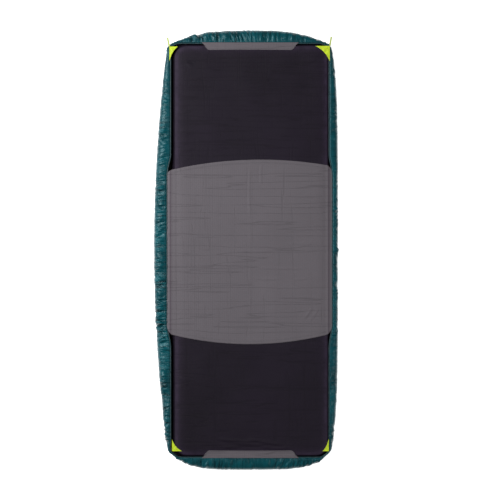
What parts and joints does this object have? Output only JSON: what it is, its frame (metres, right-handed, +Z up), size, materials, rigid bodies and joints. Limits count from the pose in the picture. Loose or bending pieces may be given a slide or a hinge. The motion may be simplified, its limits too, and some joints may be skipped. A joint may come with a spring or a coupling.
{
  "type": "self-inflating sleeping pad in a fitted cover",
  "caption": "Thick foam-core air pad with bulged side walls and hinged valves, held by a stretch sleeve, corner pockets and end tabs in a padded cover with an elastic hem.",
  "frame": {"origin": "on the floor, under the middle of the cover; the pad lies with its ground face up", "axes": "+Z up, out of the pad's ground face; +Y towards the head end; +X to the right as seen from above"},
  "size_m": [0.88, 2.1, 0.1188],
  "materials": {
    "pad_fabric": "satin",
    "sleep_fabric": "matte",
    "side_fabric": "satin",
    "foam": "matte",
    "valve_plastic": "satin",
    "cap_plastic": "satin",
    "valve_rubber": "matte",
    "pin_steel": "satin",
    "cover_nylon": "satin",
    "cover_fill": "matte",
    "cover_lining": "matte",
    "elastic": "matte",
    "stretch_grey": "matte",
    "stretch_lime": "matte",
    "webbing_lime": "matte"
  },
  "bodies": {
    "pad_and_cover": {"pad_ground_skin": "pad_fabric", "pad_sleep_skin": "sleep_fabric", "foam_core": "foam", "pad_side_wall": "side_fabric", "inflation_valve_housing": "valve_plastic", "inflation_valve_guard": "valve_plastic", "inflation_valve_pin": "pin_steel", "deflation_valve_housing": "valve_plastic", "deflation_valve_guard": "valve_plastic", "deflation_valve_pin": "pin_steel", "cover_base_outer": "cover_nylon", "cover_base_fill": "cover_fill", "cover_base_lining": "cover_lining", "skirt_left": "cover_nylon", "skirt_head": "cover_nylon", "skirt_right": "cover_nylon", "skirt_foot": "cover_nylon", "hem_elastic_left": "elastic", "hem_elastic_head": "elastic", "hem_elastic_right": "elastic", "hem_elastic_foot": "elastic", "centre_sleeve": "stretch_grey"},
    "inflation_cap": {"inflation_valve_cap": "cap_plastic", "inflation_valve_gasket": "valve_rubber"},
    "deflation_cap": {"deflation_valve_cap": "cap_plastic", "deflation_valve_gasket": "valve_rubber"},
    "inflation_flap": {"inflation_valve_flap": "valve_rubber"},
    "head_tab": {"head_tab": "stretch_grey"},
    "foot_tab": {"foot_tab": "stretch_grey"},
    "corner_pocket_head_left": {"corner_pocket_head_left": "stretch_lime"},
    "corner_pocket_head_right": {"corner_pocket_head_right": "stretch_lime"},
    "corner_pocket_foot_left": {"corner_pocket_foot_left": "stretch_lime"},
    "corner_pocket_foot_right": {"corner_pocket_foot_right": "stretch_lime"},
    "pull_tab_head_left": {"pull_tab_head_left": "webbing_lime"},
    "pull_tab_head_right": {"pull_tab_head_right": "webbing_lime"}
  },
  "joints": [
    {"name": "inflation_cap_hinge", "type": "hinge", "parent": "pad_and_cover", "child": "inflation_cap", "pos_m": [0.1625, -0.9994, 0.0664], "axis": [0, 0, 1], "range_deg": [0, 150]},
    {"name": "deflation_cap_hinge", "type": "hinge", "parent": "pad_and_cover", "child": "deflation_cap", "pos_m": [-0.0775, -0.9994, 0.0664], "axis": [0, 0, 1], "range_deg": [0, 150]},
    {"name": "inflation_flap_lift", "type": "slide", "parent": "pad_and_cover", "child": "inflation_flap", "axis": [0, 1, 0], "range_m": [0, 0.0015], "stiffness_N_per_m": 8},
    {"name": "head_tab_fold", "type": "hinge", "parent": "pad_and_cover", "child": "head_tab", "pos_m": [0.021, 0.986, 0.1174], "axis": [-1, 0, 0], "range_deg": [0, 160]},
    {"name": "foot_tab_fold", "type": "hinge", "parent": "pad_and_cover", "child": "foot_tab", "pos_m": [0.021, -0.988, 0.1174], "axis": [1, 0, 0], "range_deg": [0, 160]},
    {"name": "corner_pocket_head_left_peel", "type": "hinge", "parent": "pad_and_cover", "child": "corner_pocket_head_left", "pos_m": [-0.363, 0.966, 0.1174], "axis": [-0.7071, -0.7071, 0], "range_deg": [0, 80]},
    {"name": "corner_pocket_head_right_peel", "type": "hinge", "parent": "pad_and_cover", "child": "corner_pocket_head_right", "pos_m": [0.399, 0.969, 0.1174], "axis": [-0.7071, 0.7071, 0], "range_deg": [0, 80]},
    {"name": "corner_pocket_foot_left_peel", "type": "hinge", "parent": "pad_and_cover", "child": "corner_pocket_foot_left", "pos_m": [-0.35, -0.955, 0.1174], "axis": [0.7071, -0.7071, 0], "range_deg": [0, 80]},
    {"name": "corner_pocket_foot_right_peel", "type": "hinge", "parent": "pad_and_cover", "child": "corner_pocket_foot_right", "pos_m": [0.394, -0.955, 0.1174], "axis": [0.7071, 0.7071, 0], "range_deg": [0, 80]},
    {"name": "pull_tab_head_left_swing", "type": "hinge", "parent": "pad_and_cover", "child": "pull_tab_head_left", "pos_m": [-0.36422, 0.97188, 0.117], "axis": [0.9793, 0.2026, 0], "range_deg": [0, 75]},
    {"name": "pull_tab_head_right_swing", "type": "hinge", "parent": "pad_and_cover", "child": "pull_tab_head_right", "pos_m": [0.4, 0.97491, 0.117], "axis": [0.9859, -0.1674, 0], "range_deg": [0, 75]}
  ]
}
